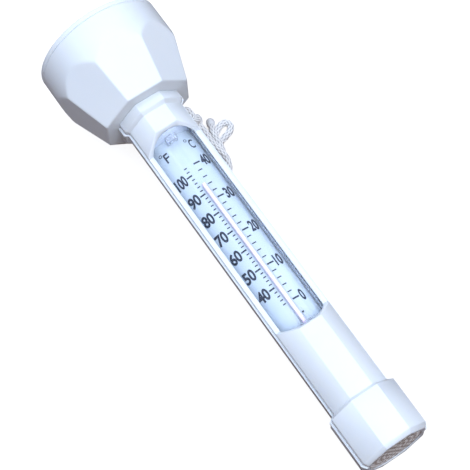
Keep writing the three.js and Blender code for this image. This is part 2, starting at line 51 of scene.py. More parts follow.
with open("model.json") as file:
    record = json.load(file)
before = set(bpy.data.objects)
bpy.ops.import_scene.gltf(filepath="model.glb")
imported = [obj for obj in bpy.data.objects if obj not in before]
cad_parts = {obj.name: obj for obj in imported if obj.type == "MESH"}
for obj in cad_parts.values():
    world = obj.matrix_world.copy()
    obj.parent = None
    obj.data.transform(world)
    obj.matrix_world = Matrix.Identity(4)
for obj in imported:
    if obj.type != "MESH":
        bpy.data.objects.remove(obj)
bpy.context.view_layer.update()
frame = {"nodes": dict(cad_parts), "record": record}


def size_of(node):
    """A CAD node's box in millimetres: its lowest corner and its highest."""
    low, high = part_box(node)
    return np.array(low) / MM, np.array(high) / MM


# ---- the frame -----------------------------------------------------------------------------------

LENGTH = 240.0  # foot end to lid, along the axis
HEAD_RADIUS = float(size_of("float_bowl")[1][0])


def lying():
    """The matrix that lays a standing piece down the way the frame does."""
    top = next(m for m in frame["record"]["mounts"] if m["name"] == "head_top")
    axis = Vector(top["axis"]).normalized()
    right = Vector((1, 0, 0))
    back = axis.cross(right)
    foot = Vector(top["pos_m"]) - axis * LENGTH * MM
    turned = Matrix((right, back, axis)).transposed().to_4x4()
    return Matrix.Translation(foot) @ turned


LYING = lying()

# ---- camera --------------------------------------------------------------------------------------

CAMERA_AIM = (-1.3, 0.9, 24.8)
CAMERA_DISTANCE = 708.7
CAMERA_ELEVATION = 64.2  # degrees above the floor
CAMERA_AZIMUTH = 26.95  # degrees, from looking along +y towards looking along +x
CAMERA_ROLL = -7.7
CAMERA_LENS = 120.0


def add_camera():
    data = bpy.data.cameras.new("camera")
    data.lens = CAMERA_LENS
    data.clip_start = 0.01
    camera = bpy.data.objects.new("camera", data)
    bpy.context.scene.collection.objects.link(camera)
    azimuth = math.radians(CAMERA_AZIMUTH)
    elevation = math.radians(CAMERA_ELEVATION)
    level = Vector((math.sin(azimuth), math.cos(azimuth), 0))
    look = level * math.cos(elevation) - Vector((0, 0, math.sin(elevation)))
    roll = Matrix.Rotation(math.radians(CAMERA_ROLL), 4, "Z")
    camera.matrix_world = look.to_track_quat("-Z", "Y").to_matrix().to_4x4() @ roll
    camera.location = Vector(CAMERA_AIM) * MM - look * CAMERA_DISTANCE * MM
    bpy.context.scene.camera = camera


# ---- meshes --------------------------------------------------------------------------------------

SHARP_ANGLE = 32  # degrees between two faces past which their edge is shown sharp
CORNER_STEPS = 4  # pieces of a rounded corner in an outline
CORNER_REACH = 2.2  # a rounded corner takes less than half of each side: the side's length over this
MERGE_DISTANCE = 1e-6  # metres
FLAT_ANGLE = 0.8  # degrees between CAD faces that are merged into one
BEVEL_ANGLE = 24  # degrees between CAD faces past which their edge is rounded
BEVEL_SEGMENTS = 3


def make_piece(name, points, faces, look, body="float", lay=True):
    """A new piece from points in millimetres. With lay, it is drawn standing and is laid down here."""
    mesh = bpy.data.meshes.new(name)
    mesh.from_pydata((np.asarray(points, float) * MM).tolist(), [], faces)
    if lay:
        mesh.transform(LYING)
    return finish_piece(name, mesh, look, body)


def finish_piece(name, mesh, look, body="float"):
    """Gives a mesh its normals, material and body. With body None, the piece is left without one."""
    tidy = bmesh.new()
    tidy.from_mesh(mesh)
    bmesh.ops.recalc_face_normals(tidy, faces=tidy.faces)
    tidy.to_mesh(mesh)
    tidy.free()
    mesh.shade_smooth()
    mesh.set_sharp_from_angle(angle=math.radians(SHARP_ANGLE))
    mesh.materials.clear()
    mesh.materials.append(look)
    piece = bpy.data.objects.new(name, mesh)
    bpy.context.scene.collection.objects.link(piece)
    if body:
        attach(piece, body)
    return piece


def ring_faces(start, count, sides):
    """Quads between rings of points that follow each other, closed round."""
    faces = []
    for ring in range(count - 1):
        low = start + ring * sides
        for i in range(sides):
            j = (i + 1) % sides
            faces.append((low + i, low + j, low + sides + j, low + sides + i))
    return faces


def closed_rings(rings):
    """Points and faces of a body through rings of equal length, closed by a fan at both ends."""
    rings = [np.asarray(ring, float) for ring in rings]
    sides = len(rings[0])
    points = np.vstack(rings + [rings[0].mean(0)[None], rings[-1].mean(0)[None]])
    faces = ring_faces(0, len(rings), sides)
    last = (len(rings) - 1) * sides
    for i in range(sides):
        j = (i + 1) % sides
        faces.append((len(points) - 2, j, i))
        faces.append((len(points) - 1, last + i, last + j))
    return points, faces


def looped_rings(rings):
    """Points and faces of a body whose rings close on themselves, like a tube's wall."""
    rings = [np.asarray(ring, float) for ring in rings]
    sides = len(rings[0])
    faces = ring_faces(0, len(rings), sides)
    last = (len(rings) - 1) * sides
    for i in range(sides):
        j = (i + 1) % sides
        faces.append((last + i, last + j, j, i))
    return np.vstack(rings), faces


def circle(radius, z, sides, centre_y=0.0):
    turn = np.arange(sides) / sides * TAU
    x = radius * np.cos(turn)
    y = radius * np.sin(turn) + centre_y
    return np.column_stack([x, y, np.full(sides, z)])


def rounded(profile, radius):
    """A closed [r, z] outline with its corners rounded, as more [r, z] points."""
    made = []
    count = len(profile)
    for i in range(count):
        before, corner, after = (np.array(profile[(i + k) % count], float) for k in (-1, 0, 1))
        towards = (before - corner, after - corner)
        reach = [min(radius, np.linalg.norm(way) / CORNER_REACH) for way in towards]
        if min(corner[0], reach[0], reach[1]) <= 1e-6:
            made.append(corner)
            continue
        start, end = (corner + way / np.linalg.norm(way) * r for way, r in zip(towards, reach))
        for t in np.linspace(0, 1, CORNER_STEPS + 1):
            made.append((1 - t) ** 2 * start + 2 * t * (1 - t) * corner + t**2 * end)
    return made


def turned_piece(name, node, profile, look, sides, edge=0.25, centre_y=0.0, body="float"):
    """A body of revolution with rounded edges, which replaces a CAD node.

    A profile that starts and ends on the axis is solid; any other closes on itself.
    """
    outline = rounded(profile, edge)
    solid = profile[0][0] == 0
    rings = [circle(r, z, sides, centre_y) for r, z in outline if r > 1e-6]
    points, faces = closed_rings(rings) if solid else looped_rings(rings)
    piece = make_piece(name, points, faces, look, body)
    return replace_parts(piece, node)


def evaluated_mesh(thing):
    """A new mesh of an object as it is with its modifiers, or of a text as it is drawn."""
    graph = bpy.context.evaluated_depsgraph_get()
    return bpy.data.meshes.new_from_object(thing.evaluated_get(graph))


def refined_copy(name, node, look, edge):
    """A copy of a CAD node with its flat faces merged and its edges rounded, which replaces it."""
    work = bmesh.new()
    work.from_mesh(frame["nodes"][node].data)
    bmesh.ops.remove_doubles(work, verts=work.verts, dist=MERGE_DISTANCE)
    flat = math.radians(FLAT_ANGLE)
    bmesh.ops.dissolve_limit(work, angle_limit=flat, verts=work.verts, edges=work.edges)
    mesh = bpy.data.meshes.new(name)
    work.to_mesh(mesh)
    work.free()
    rough = bpy.data.objects.new(name + "_rough", mesh)
    bpy.context.scene.collection.objects.link(rough)
    bevel = rough.modifiers.new("bevel", "BEVEL")
    bevel.width = edge * MM
    bevel.segments = BEVEL_SEGMENTS
    bevel.limit_method = "ANGLE"
    bevel.angle_limit = math.radians(BEVEL_ANGLE)
    bevel.miter_outer = "MITER_ARC"
    rough.modifiers.new("normals", "WEIGHTED_NORMAL")
    mesh = evaluated_mesh(rough)
    bpy.data.objects.remove(rough)
    piece = finish_piece(name, mesh, look)
    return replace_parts(piece, node)


# ---- materials -----------------------------------------------------------------------------------

PLASTIC_IOR = 1.53
PLASTIC_DEPTH = (0.0012, 0.0014, 0.0018)  # how far red, green and blue light go in, in metres
SPIRIT_DEPTH = (0.001, 0.0005, 0.0006)
SPIRIT_DEEP = (0.86, 0.68, 0.78)
SPIRIT_PALE = (0.90, 0.75, 0.84)
INK_DEEP = (0.004, 0.008, 0.020)
INK_THIN = (0.010, 0.018, 0.040)
# Painted shade on the cord: its own white is on the strands' crowns, and the next two colours grey the
# strands' sides and darken the grooves between them.
CORD_CROWN = (0.96, 0.96, 0.95)
CORD_SIDE_SHADE = (0.82, 0.82, 0.83)
CORD_GROOVE_SHADE = (0.06, 0.064, 0.07)


def new_material(name):
    """A material with one Principled shader; returns it, its node tree and the shader."""
    look = bpy.data.materials.new(name)
    look.use_nodes = True
    shader = look.node_tree.nodes["Principled BSDF"]
    return look, look.node_tree, shader


def add_node(tree, kind, **values):
    """A node with its own settings and its sockets' values, both by name."""
    node = tree.nodes.new(kind)
    for key, value in values.items():
        if hasattr(node, key):
            setattr(node, key, value)
        else:
            node.inputs[key.replace("_", " ")].default_value = value
    return node


def noise(tree, scale, detail=3.0, roughness=0.5, stretch=(1, 1, 1)):
    """Noise in object space. scale is in features per metre, and stretch draws it out."""
    where = add_node(tree, "ShaderNodeTexCoord")
    mapping = add_node(tree, "ShaderNodeMapping")
    mapping.inputs["Scale"].default_value = stretch
    texture = add_node(tree, "ShaderNodeTexNoise", Scale=scale, Detail=detail, Roughness=roughness)
    tree.links.new(where.outputs["Object"], mapping.inputs["Vector"])
    tree.links.new(mapping.outputs["Vector"], texture.inputs["Vector"])
    return texture.outputs["Fac"]


def ramp(tree, factor, stops):
    """A colour ramp from (position, colour) stops; a grey may be a single number."""
    node = add_node(tree, "ShaderNodeValToRGB")
    elements = node.color_ramp.elements
    while len(elements) < len(stops):
        elements.new(0.5)
    for element, (position, colour) in zip(elements, stops):
        element.position = position
        grey = isinstance(colour, (int, float))
        element.color = (colour, colour, colour, 1) if grey else (*colour, 1)
    tree.links.new(factor, node.inputs["Fac"])
    return node.outputs["Color"]


def add_bump(tree, shader, height, strength, distance):
    bump = add_node(tree, "ShaderNodeBump", Strength=strength, Distance=distance)
    tree.links.new(height, bump.inputs["Height"])
    tree.links.new(bump.outputs["Normal"], shader.inputs["Normal"])


def let_light_in(shader, weight, radius):
    shader.inputs["Subsurface Weight"].default_value = weight
    shader.inputs["Subsurface Radius"].default_value = radius
    shader.inputs["Subsurface Scale"].default_value = 1.0


def plastic(name, colour, tint, rough, grain=0.06, translucency=0.0):
    """Moulded plastic: a faint cloud of two colours, uneven gloss and a fine grain from the mould."""
    look, tree, shader = new_material(name)
    cloud = noise(tree, 45, detail=4)
    tree.links.new(ramp(tree, cloud, [(0.35, tint), (0.7, colour)]), shader.inputs["Base Color"])
    low, high = rough
    wear = noise(tree, 320, detail=5, roughness=0.65)
    tree.links.new(ramp(tree, wear, [(0.3, low), (0.72, high)]), shader.inputs["Roughness"])
    add_bump(tree, shader, noise(tree, 2600, detail=2), grain, 0.00008)
    shader.inputs["IOR"].default_value = PLASTIC_IOR
    if translucency:
        let_light_in(shader, translucency, PLASTIC_DEPTH)
    return look


def clear(name, colour, ior, rough, haze=0.0):
    """Clear plastic or glass with faint streaks in its gloss; haze is the share of light it scatters."""
    look, tree, shader = new_material(name)
    shader.inputs["Base Color"].default_value = (*colour, 1)
    shader.inputs["Transmission Weight"].default_value = 1.0 - haze
    shader.inputs["IOR"].default_value = ior
    low, high = rough
    streaks = noise(tree, 180, detail=3, stretch=(1, 0.12, 1))
    tree.links.new(ramp(tree, streaks, [(0.4, low), (0.75, high)]), shader.inputs["Roughness"])
    return look


def rubber(name, colour):
    """Moulded rubber with a pale bloom on it in patches."""
    look, tree, shader = new_material(name)
    bloom = noise(tree, 400, detail=5)
    paler = tuple(min(1, c * 1.6) for c in colour)
    tree.links.new(ramp(tree, bloom, [(0.4, colour), (0.8, paler)]), shader.inputs["Base Color"])
    shader.inputs["Roughness"].default_value = 0.62
    add_bump(tree, shader, noise(tree, 3000), 0.15, 0.0001)
    return look


def steel(name):
    """Turned steel: fine rings of tool marks along the axis."""
    look, tree, shader = new_material(name)
    marks = noise(tree, 900, detail=4, stretch=(0.1, 1, 0.1))
    tree.links.new(ramp(tree, marks, [(0.3, 0.16), (0.7, 0.28)]), shader.inputs["Base Color"])
    tree.links.new(ramp(tree, marks, [(0.3, 0.25), (0.7, 0.45)]), shader.inputs["Roughness"])
    shader.inputs["Metallic"].default_value = 1.0
    add_bump(tree, shader, marks, 0.3, 0.00005)
    return look


def spirit(name):
    """The thin spirit as it shows through its glass: pale and slightly uneven along the column."""
    look, tree, shader = new_material(name)
    along = noise(tree, 90, detail=2, stretch=(0.2, 1, 0.2))
    tree.links.new(ramp(tree, along, [(0.3, SPIRIT_DEEP), (0.7, SPIRIT_PALE)]), shader.inputs["Base Color"])
    shader.inputs["Roughness"].default_value = 0.7
    let_light_in(shader, 0.3, SPIRIT_DEPTH)
    return look


def ink(name):
    """Screen-printed ink: not quite even, with a dull gloss."""
    look, tree, shader = new_material(name)
    spread = noise(tree, 1500, detail=4)
    tree.links.new(ramp(tree, spread, [(0.3, INK_DEEP), (0.75, INK_THIN)]), shader.inputs["Base Color"])
    shader.inputs["Roughness"].default_value = 0.45
    return look


def braid(name):
    """Braided polyester: white yarn with a fibre grain, and painted shade that greys the strands' sides and
    darkens the grooves between them.
    """
    look, tree, shader = new_material(name)
    groove = add_node(tree, "ShaderNodeAttribute", attribute_name="relief")
    # Painted shade: the relief darkens the yarn from crown to groove.
    shade = ramp(tree, groove.outputs["Fac"], [(0.0, CORD_GROOVE_SHADE), (0.42, CORD_SIDE_SHADE), (0.72, CORD_CROWN)])
    soil = ramp(tree, noise(tree, 260, detail=4), [(0.35, 0.9), (0.65, 1.0)])
    mix = add_node(tree, "ShaderNodeMix", data_type="RGBA", blend_type="MULTIPLY")
    mix.inputs["Factor"].default_value = 1.0
    tree.links.new(shade, mix.inputs["A"])
    tree.links.new(soil, mix.inputs["B"])
    tree.links.new(mix.outputs["Result"], shader.inputs["Base Color"])
    shader.inputs["Roughness"].default_value = 0.7
    shader.inputs["Sheen Weight"].default_value = 0.25
    add_bump(tree, shader, noise(tree, 4200), 0.35, 0.0001)
    return look


ABS = plastic("white_abs", (0.83, 0.88, 0.92), (0.80, 0.86, 0.91), (0.30, 0.42), translucency=0.12)
GRILLE = plastic("grille_plastic", (0.80, 0.75, 0.72), (0.54, 0.49, 0.46), (0.40, 0.55), grain=0.12)
CARD = plastic("card_plastic", (0.62, 0.69, 0.73), (0.58, 0.66, 0.71), (0.42, 0.55), grain=0.04)
PLUG = plastic("plug_plastic", (0.70, 0.76, 0.84), (0.62, 0.70, 0.80), (0.35, 0.5), translucency=0.2)
SEAL = rubber("seal_rubber", (0.03, 0.03, 0.033))
STEEL = steel("ballast_steel")
# The clear parts bend light only a little, so that the print behind them stays crisp.
CLEAR = clear("clear_plastic", (0.89, 0.92, 0.98), 1.08, (0.01, 0.04), haze=0.02)
GLASS = clear("stem_glass", (0.97, 0.98, 1.0), 1.07, (0.0, 0.02))
CLIP = clear("clip_plastic", (0.90, 0.93, 1.0), 1.15, (0.1, 0.2), haze=0.2)
SPIRIT = spirit("spirit")
INK = ink("print_ink")
BRAID = braid("cord_braid")
MELTED = plastic("cord_end", (0.78, 0.79, 0.80), (0.62, 0.64, 0.66), (0.3, 0.5), grain=0.3)

# ---- the cord ------------------------------------------------------------------------------------

CORD = 3.4  # diameter
CORD_MEAN = CORD / 2 - 0.1  # the braid's radius, to the middle of its relief
BRAID_STRANDS = 6  # each way round
BRAID_RELIEF = 0.22  # how far a strand's crown stands above a groove, each side of the middle
BRAID_LEVEL = 1.15  # twice the relief at which the braid has its mean radius
BRAID_SIDES = 8 * BRAID_STRANDS
BRAID_CELL = math.pi * CORD / BRAID_STRANDS  # length of one crossing along the cord
BRAID_STEP = BRAID_CELL / 7
LINE_STEPS = 24  # fine points between two of a route's points, before they are spaced evenly
PATH_EVERY = 12  # of the tether's points, one in so many is taken for its path

KNOT_MAJOR = 1.8
KNOT_WIND = 0.75
KNOT_RISE = 1.25
KNOT_POINTS = 240
KNOT_PULL = 0.35  # how much thinner the cord is where the knot squeezes it

# The melted end: (share of its length, radius), from the braid's end to its face.
TIP_PROFILE = [(0.0, 1.62), (0.06, 1.86), (0.2, 2.02), (0.5, 2.1), (0.76, 1.95), (0.9, 1.5), (0.98, 0.8)]
TIP_LENGTH = 4.5
TIP_SIDES = 40
TIP_DIP = -0.9  # the tip's fall over a run as long as the route's last stretch

TIE_THICKNESS = 0.7
TIE_CORNER = 3.0
TIE_CORNER_POINTS = 9
TIE_EDGE = 0.2

# The route's points, in the part's frame, as the CAD has them.
EYE_LOOP = [
    (20.0, 69.6, 10.9),
    (20.3, 72.4, 11.2),
    (19.8, 75.0, 11.9),
    (18.0, 75.7, 12.4),
    (15.2, 73.2, 14.2),
    (14.0, 71.0, 15.2),
    (13.86, 68.94, 15.4),
    (13.95, 66.7, 15.2),
    (15.1, 64.8, 14.4),
    (17.2, 64.6, 13.1),
    (18.6, 66.6, 11.9),
]
KNOT_CENTRE = (19.8, 68.2, 10.9)
KNOT_EXIT = (20.3, 66.4, 10.0)  # where the tether leaves the knot, just inside it
RUN = [
    (20.8, 64.4, 9.1),
    (21.2, 61.8, 8.4),
    (21.0, 59.2, 7.9),
    (20.9, 55.4, 7.9),
    (21.3, 51.8, 7.7),
    (22.0, 48.4, 7.1),
    (22.2, 45.0, 6.2),
    (20.8, 41.0, 4.9),
    (17.8, 37.2, 3.4),
    (15.0, 33.0, 2.2),
]
# From the hank's last lap, over its end, to the bight.
BIGHT_LEAD = [(-2.6, 29.0, 6.05), (-0.2, 33.2, 6.1), (3.2, 36.4, 6.1)]
BIGHT = [
    (6.6, 38.6, 6.0),
    (9.4, 42.0, 5.5),
    (13.4, 46.0, 3.6),
    (18.6, 51.4, 1.8),
    (23.2, 55.1, 1.8),
    (28.2, 56.9, 1.8),
    (32.5, 58.4, 1.8),
    (34.8, 60.9, 1.8),
    (33.8, 63.6, 1.8),
    (30.6, 63.8, 1.8),
    (26.8, 61.6, 1.8),
    (22.4, 59.4, 1.8),
    (17.0, 58.4, 1.8),
    (11.4, 58.0, 1.8),
    (6.0, 55.4, 1.8),
    (3.6, 50.0, 1.8),
    (5.2, 44.9, 1.8),
    (10.6, 41.0, 1.8),
    (16.4, 41.6, 1.8),
    (20.7, 45.4, 1.9),
    (23.0, 49.8, 3.9),
    (24.0, 54.0, 5.3),
    (24.5, 58.4, 5.4),
    (25.4, 62.4, 4.9),
    (26.6, 65.3, 3.6),
]

# The hank: laps of (half width, height), laid beside and on each other.
HANK_X = 5.3
HANK_Y = 6.0
HANK_STRAIGHT = 18.8  # half the length of a lap's straight sides
HANK_LAPS = [(8.5, 2.65), (5.1, 2.65), (5.1, 6.05), (8.5, 6.05)]
SIDE_POINTS = 6
FOLD_POINTS = 7


def hank_points():
    """Each lap goes down the right side, round the fold, up the left side and over into the next lap."""
    points = []
    for lap, (half, z) in enumerate(HANK_LAPS):
        for y in np.linspace(HANK_STRAIGHT, -HANK_STRAIGHT, SIDE_POINTS):
            points.append((HANK_X + half, HANK_Y + y, z))
        for turn in np.linspace(0, math.pi, FOLD_POINTS + 2)[1:-1]:
            x = HANK_X + half * math.cos(turn)
            points.append((x, HANK_Y - HANK_STRAIGHT - half * math.sin(turn), z))
        for y in np.linspace(-HANK_STRAIGHT, HANK_STRAIGHT, SIDE_POINTS):
            points.append((HANK_X - half, HANK_Y + y, z))
        if lap + 1 == len(HANK_LAPS):
            break
        next_half, next_z = HANK_LAPS[lap + 1]
        for share in np.linspace(0, 1, FOLD_POINTS + 2)[1:-1]:
            turn = math.pi * (1 - share)
            wide = half + (next_half - half) * share
            x = HANK_X + wide * math.cos(turn)
            y = HANK_Y + HANK_STRAIGHT + wide * math.sin(turn)
            points.append((x, y, z + (next_z - z) * share))
    return points


def smooth_line(points, step):
    """A centripetal Catmull-Rom line through points, as new points about step apart."""
    p = np.asarray(points, float)
    p = np.vstack([2 * p[0] - p[1], p, 2 * p[-1] - p[-2]])
    fine = []
    for a, b, c, d in zip(p[:-3], p[1:-2], p[2:-1], p[3:]):
        t1, t2, t3 = np.cumsum([math.sqrt(np.linalg.norm(e)) for e in (b - a, c - b, d - c)])
        for t in np.linspace(t1, t2, LINE_STEPS, endpoint=False):
            ab = a + (b - a) * t / t1
            bc = b + (c - b) * (t - t1) / (t2 - t1)
            cd = c + (d - c) * (t - t2) / (t3 - t2)
            abc = ab + (bc - ab) * t / t2
            bcd = bc + (cd - bc) * (t - t1) / (t3 - t1)
            fine.append(abc + (bcd - abc) * (t - t1) / (t2 - t1))
    return evenly(np.vstack([fine, p[-2][None]]), step)


def evenly(line, step):
    """The same line with points step apart."""
    along = np.concatenate([[0], np.cumsum(np.linalg.norm(np.diff(line, axis=0), axis=1))])
    wanted = np.linspace(0, along[-1], max(2, round(along[-1] / step)) + 1)
    return np.column_stack([np.interp(wanted, along, line[:, k]) for k in range(3)])


def line_frames(line, closed=False):
    """Two directions across the line at each point, carried along it without twist."""
    if closed:
        tangent = np.roll(line, -1, 0) - np.roll(line, 1, 0)
    else:
        tangent = np.gradient(line, axis=0)
    tangent /= np.linalg.norm(tangent, axis=1)[:, None]
    side = np.cross(tangent[0], (0, 0, 1))
    if np.linalg.norm(side) < 0.1:
        side = np.cross(tangent[0], (1, 0, 0))
    sides = []
    for t in tangent:
        side = side - t * (side @ t)
        side /= np.linalg.norm(side)
        sides.append(side)
    sides = np.array(sides)
    return sides, np.cross(tangent, sides)


def braid_relief(along, round_):
    """The braid's height from 0, in a groove, to 1, on a crown: two sets of strands that cross."""
    a = round_ * BRAID_STRANDS / TAU + along / (2 * BRAID_CELL)
    b = round_ * BRAID_STRANDS / TAU - along / (2 * BRAID_CELL)
    cell_a = np.floor(a)
    cell_b = np.floor(b)
    over = (cell_a + cell_b) % 2 == 0
    across = np.where(over, a - cell_a, b - cell_b)
    along_strand = np.where(over, b - cell_b, a - cell_a)
    crown = np.sin(np.pi * across) ** 0.7
    dip = 0.35 + 0.65 * np.sin(np.pi * along_strand) ** 0.8
    return crown * dip


def braided_rings(line, closed=False, mean=CORD_MEAN):
    """Rings of points round a line, and the relief at each point."""
    across, up = line_frames(line, closed)
    steps = np.diff(line, axis=0)
    along = np.concatenate([[0], np.cumsum(np.linalg.norm(steps, axis=1))])
    turn = np.arange(BRAID_SIDES) / BRAID_SIDES * TAU
    relief = braid_relief(along[:, None], turn[None, :])
    radius = mean + BRAID_RELIEF * (2 * relief - BRAID_LEVEL)
    way = across[:, None, :] * np.cos(turn)[None, :, None] + up[:, None, :] * np.sin(turn)[None, :, None]
    return line[:, None, :] + radius[:, :, None] * way, relief


def store_relief(piece, relief):
    """Keeps the relief on the mesh's points, for the material, which paints shade in the grooves with it.
    """
    values = np.zeros(len(piece.data.vertices), np.float32)
    flat = np.concatenate([np.ravel(r) for r in relief])
    values[: len(flat)] = flat
    piece.data.attributes.new("relief", "FLOAT", "POINT").data.foreach_set("value", values)


def cord_end(line):
    """The way the cord points at its end, tipped down to the floor as the CAD's tip is."""
    way = line[-1] - np.array(BIGHT[-2])
    way[2] = TIP_DIP
    return way / np.linalg.norm(way)


def make_tether():
    """The tether from the knot through the hank to its sealed end, and the pieces on it."""
    route = [KNOT_EXIT] + RUN + hank_points() + BIGHT_LEAD + BIGHT
    line = smooth_line(route, BRAID_STEP)
    rings, relief = braided_rings(line)
    points, faces = closed_rings(list(rings))
    cord = make_piece("tether", points, faces, BRAID, lay=False)
    store_relief(cord, [relief])
    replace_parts(cord, "cord_run", "cord_bight", "cord_hank")
    tip = make_tip(line)
    knot = make_knot()
    tie = make_tie()
    path = line[::PATH_EVERY]
    if len(line) % PATH_EVERY != 1:
        path = np.vstack([path, line[-1]])


def make_tip(line):
    """The melted end: a smooth cap, swollen a little and lopsided."""
    way = cord_end(line)
    turn = np.arange(TIP_SIDES) / TIP_SIDES * TAU
    across = np.cross(way, (0, 0, 1))
    across /= np.linalg.norm(across)
    up = np.cross(across, way)
    rings = []
    for share, radius in TIP_PROFILE:
        uneven = radius * (1 + 0.025 * np.sin(2 * turn + 5 * share) + 0.02 * np.sin(5 * turn))
        ring = across * np.cos(turn)[:, None] + up * np.sin(turn)[:, None]
        rings.append(line[-1] + way * share * TIP_LENGTH + ring * uneven[:, None])
    points, faces = closed_rings(rings)
    tip = make_piece("cord_tip_sealed", points, faces, MELTED, lay=False)
    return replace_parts(tip, "cord_tip")


def knot_line():
    """A trefoil pulled tight, as a closed line."""
    turn = np.linspace(0, TAU, KNOT_POINTS, endpoint=False)
    radius = KNOT_MAJOR + KNOT_WIND * np.cos(3 * turn)
    x = radius * np.cos(2 * turn)
    y = radius * np.sin(2 * turn)
    z = KNOT_RISE * np.sin(3 * turn)
    return np.column_stack([x, z, y]) + np.array(KNOT_CENTRE)


def make_knot():
    """The loop of cord through the eye and the knot that closes it."""
    loop, loop_relief = braided_rings(smooth_line([*EYE_LOOP, KNOT_CENTRE], BRAID_STEP))
    knot, knot_relief = braided_rings(knot_line(), closed=True, mean=CORD_MEAN - KNOT_PULL)
    loop_points, loop_faces = closed_rings(list(loop))
    knot_points, knot_faces = looped_rings(list(knot))
    shifted = [tuple(i + len(loop_points) for i in face) for face in knot_faces]
    points = np.vstack([loop_points, knot_points])
    piece = make_piece("eye_loop_knot", points, loop_faces + shifted, BRAID, lay=False)
    end_centres = np.zeros(2)
    store_relief(piece, [loop_relief, end_centres, knot_relief])
    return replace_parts(piece, "eye_knot")


def make_tie():
    """A flat band round the hank, with rounded corners."""
    low, high = size_of("hank_tie")
    centre = (low + high) / 2
    half = (high - low) / 2
    corner_x = half[0] - TIE_CORNER
    corner_z = half[2] - TIE_CORNER
    outline = []
    for quarter, (sx, sz) in enumerate([(1, 1), (-1, 1), (-1, -1), (1, -1)]):
        for turn in np.linspace(0, math.pi / 2, TIE_CORNER_POINTS):
            angle = quarter * math.pi / 2 + turn
            outline.append((sx * corner_x, sz * corner_z, math.cos(angle), math.sin(angle)))
    square = [(0, -half[1]), (TIE_THICKNESS, -half[1]), (TIE_THICKNESS, half[1]), (0, half[1])]
    section = [(TIE_THICKNESS - depth, along) for depth, along in rounded(square, TIE_EDGE)]
    rings = []
    for x, z, way_x, way_z in outline:
        ring = []
        for depth, along in section:
            reach = TIE_CORNER - depth
            ring.append(centre + (x + way_x * reach, along, z + way_z * reach))
        rings.append(ring)
    points, faces = looped_rings(rings)
    tie = make_piece("hank_band", points, faces, MELTED, lay=False)
    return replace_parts(tie, "hank_tie")


# ---- the float head ------------------------------------------------------------------------------

FLATS = 8
HEAD_BOTTOM = 195.5  # along the axis, as are the other bottoms and tops
HEAD_BOTTOM_FLAT = 22.1  # axis to a flat, at the underside
FLAT_SLOPE = 0.336  # how much a flat leaves the axis for each millimetre up
HEAD_WALL = 2.2
LID_BOTTOM = 237.5
HEAD_SIDES = 512
HEAD_SOFTNESS = 0.16  # how gently the flats run into each other and into the round
HEAD_FACING = 0.3  # a flat bounds only the directions that it faces at least this much
HEAD_EDGE = 0.7  # rounding of the underside's edge
HEAD_LIP = 0.35  # rounding of the mouth's edge
NECK_RADIUS = 12.0
NECK_BORE = 8.5
NECK_BOTTOM = 186.4
NECK_RECESS = 2.1  # the blind hole in the neck's end
GROOVE_RADIUS = 10.7
GROOVE_BOTTOM = 188.6
GROOVE_TOP = 191.4
LID_GAP = 0.15  # between the lid and the tub
LID_PLUG_DEPTH = 5.0
LID_PLUG_WALL = 1.9
LID_SEAL_DEPTH = 1.05
LID_SEAL_TOP = 1.4  # below the lid
LID_SEAL_BOTTOM = 3.6
GATE_RADIUS = 2.2  # the moulding gate's scar, a ring pressed into the lid's middle
GATE_DEPTH = 0.35


def head_ring(z, inset):
    """The head's outline at a height: an octagon within a circle, with soft corners."""
    turn = np.arange(HEAD_SIDES) / HEAD_SIDES * TAU
    flat = HEAD_BOTTOM_FLAT + (z - HEAD_BOTTOM) * FLAT_SLOPE - inset * math.hypot(1, FLAT_SLOPE)
    reach = [np.full(HEAD_SIDES, HEAD_RADIUS - inset)]
    for k in range(FLATS):
        facing = np.cos(turn - math.pi / 2 - k * TAU / FLATS)
        distance = flat / np.maximum(facing, HEAD_FACING)
        reach.append(np.where(facing > HEAD_FACING, distance, np.inf))
    softened = np.exp(-(np.array(reach) - np.min(reach, axis=0)) / HEAD_SOFTNESS).sum(0)
    radius = np.min(reach, axis=0) - HEAD_SOFTNESS * np.log(softened)
    return np.column_stack([radius * np.cos(turn), radius * np.sin(turn), np.full(HEAD_SIDES, z)])


def make_bowl():
    """The tub of the head with its neck, from the neck's end up the outside and down the inside."""
    top = LID_BOTTOM - LID_GAP
    neck = [
        (NECK_BORE, NECK_BOTTOM + NECK_RECESS),
        (NECK_BORE, NECK_BOTTOM),
        (NECK_RADIUS - 0.2, NECK_BOTTOM),
        (NECK_RADIUS, NECK_BOTTOM + 0.2),
        (NECK_RADIUS, GROOVE_BOTTOM),
        (GROOVE_RADIUS, GROOVE_BOTTOM),
        (GROOVE_RADIUS, GROOVE_TOP),
        (NECK_RADIUS, GROOVE_TOP),
        (NECK_RADIUS, HEAD_BOTTOM),
    ]
    rings = [circle(r, z, HEAD_SIDES) for r, z in neck]
    for turn in np.linspace(0, math.pi / 2, 6):
        inset = HEAD_EDGE * (1 - math.sin(turn))
        rings.append(head_ring(HEAD_BOTTOM + HEAD_EDGE * (1 - math.cos(turn)), inset))
    for z in np.linspace(HEAD_BOTTOM + HEAD_EDGE, top - HEAD_LIP, 72)[1:]:
        rings.append(head_ring(z, 0))
    for turn in np.linspace(0, math.pi / 2, 4)[1:]:
        inset = HEAD_LIP * (1 - math.cos(turn))
        rings.append(head_ring(top - HEAD_LIP * (1 - math.sin(turn)), inset))
    for z in np.linspace(top, HEAD_BOTTOM + HEAD_WALL, 30):
        rings.append(head_ring(z, HEAD_WALL))
    rings.append(circle(NECK_BORE, HEAD_BOTTOM + HEAD_WALL, HEAD_SIDES))
    points, faces = closed_rings(rings)
    bowl = make_piece("head_bowl", points, faces, ABS)
    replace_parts(bowl, "float_bowl")


